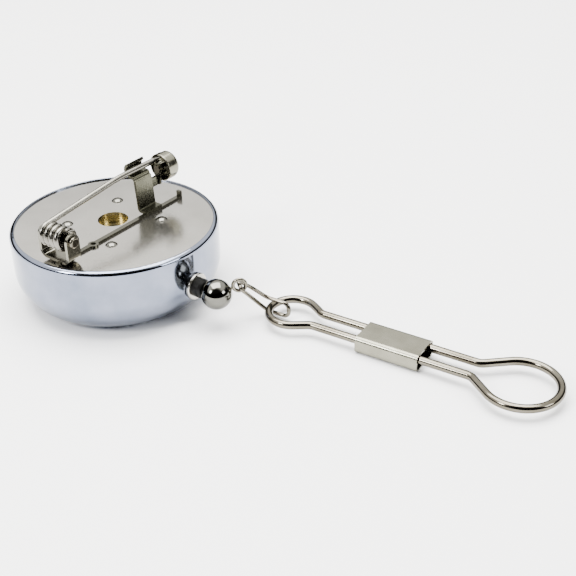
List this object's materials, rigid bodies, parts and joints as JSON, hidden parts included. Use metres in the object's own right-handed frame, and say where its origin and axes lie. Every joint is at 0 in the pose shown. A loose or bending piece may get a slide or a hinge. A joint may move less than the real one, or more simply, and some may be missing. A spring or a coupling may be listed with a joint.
{
  "type": "retractable badge reel",
  "caption": "Round metal badge reel with a pin on its back plate, a spring-wound line, a stop ball and swivel, and a wire snap hook locked by a sliding sleeve.",
  "frame": {"origin": "centre of the case's flat front face, which the reel rests on", "axes": "+X the way the line comes out of the case; +Z from the front face to the back plate with the pin"},
  "size_m": [0.0864, 0.0325, 0.0195],
  "materials": {
    "satin_chrome": "satin",
    "polished_nickel": "polished",
    "plain_steel": "satin",
    "brass": "polished",
    "nylon": "matte",
    "black_nylon": "satin",
    "spring_steel": "satin",
    "black_line": "braided",
    "chrome": "polished",
    "nickel_wire": "polished",
    "nickel_sheet": "polished"
  },
  "bodies": {
    "case": {"case_shell": "satin_chrome", "back_plate": "polished_nickel", "plate_stakes": "polished_nickel", "arbor_plate": "plain_steel", "hollow_arbor": "brass", "thrust_washer": "nylon", "line_eyelet": "polished_nickel", "line_bush": "black_nylon", "base_bar": "nickel_sheet", "hinge_bracket": "nickel_sheet", "hinge_rivet": "nickel_wire", "catch_post": "nickel_sheet", "rotor_pin": "nickel_wire"},
    "spool": {"spool": "nylon", "mainspring": "spring_steel", "spring_cover": "nylon", "line_winding": "black_line"},
    "line_end": {"stop_ball": "chrome", "line_knot": "black_line", "line_lead": "black_line"},
    "swivel": {"swivel_eye": "nickel_wire"},
    "link": {"connector_link": "nickel_wire"},
    "hook": {"hook_wire": "nickel_wire"},
    "sleeve": {"hook_sleeve": "nickel_sheet"},
    "needle": {"pin_needle": "spring_steel"},
    "rotor": {"catch_rotor": "nickel_sheet"}
  },
  "joints": [
    {"name": "line_pull", "type": "slide", "parent": "case", "child": "line_end", "axis": [1, 0, 0], "range_m": [0, 0.6], "stiffness_N_per_m": 0.5, "springref_m": -0.4, "deforming": ["line_lead"]},
    {"name": "spool_spin", "type": "hinge", "parent": "case", "child": "spool", "pos_m": [-0.0008, 0.0005, 0.0055], "axis": [0, 0, 1], "range_deg": [0, 3300], "deforming": ["mainspring"]},
    {"name": "swivel_turn", "type": "hinge", "parent": "line_end", "child": "swivel", "pos_m": [0.02012, 0, 0.0055], "axis": [0.676, 0.6528, 0.342], "continuous": true},
    {"name": "link_swing", "type": "hinge", "parent": "swivel", "child": "link", "pos_m": [0.02257, 0.00236, 0.00674], "axis": [0.6947, -0.7193, 0], "range_deg": [-15, 45]},
    {"name": "hook_swing", "type": "hinge", "parent": "link", "child": "hook", "pos_m": [0.02507, 0.00685, 0.00175], "axis": [-0.0941, 0.9956, 0], "range_deg": [-60, 45]},
    {"name": "sleeve_slide", "type": "slide", "parent": "hook", "child": "sleeve", "axis": [0.9956, 0.0941, 0], "range_m": [-0.0065, 0.0065]},
    {"name": "needle_hinge", "type": "hinge", "parent": "case", "child": "needle", "pos_m": [0.00195, -0.0128, 0.01525], "axis": [1, 0, 0], "range_deg": [0, 65]},
    {"name": "rotor_turn", "type": "hinge", "parent": "case", "child": "rotor", "pos_m": [0.00151, 0.0106, 0.01731], "axis": [-0.0281, -0.9996, 0], "range_deg": [0, 100]}
  ],
  "couplings": [
    {"joint": "spool_spin", "follows": "line_pull", "rad_per_m": 95.2}
  ]
}
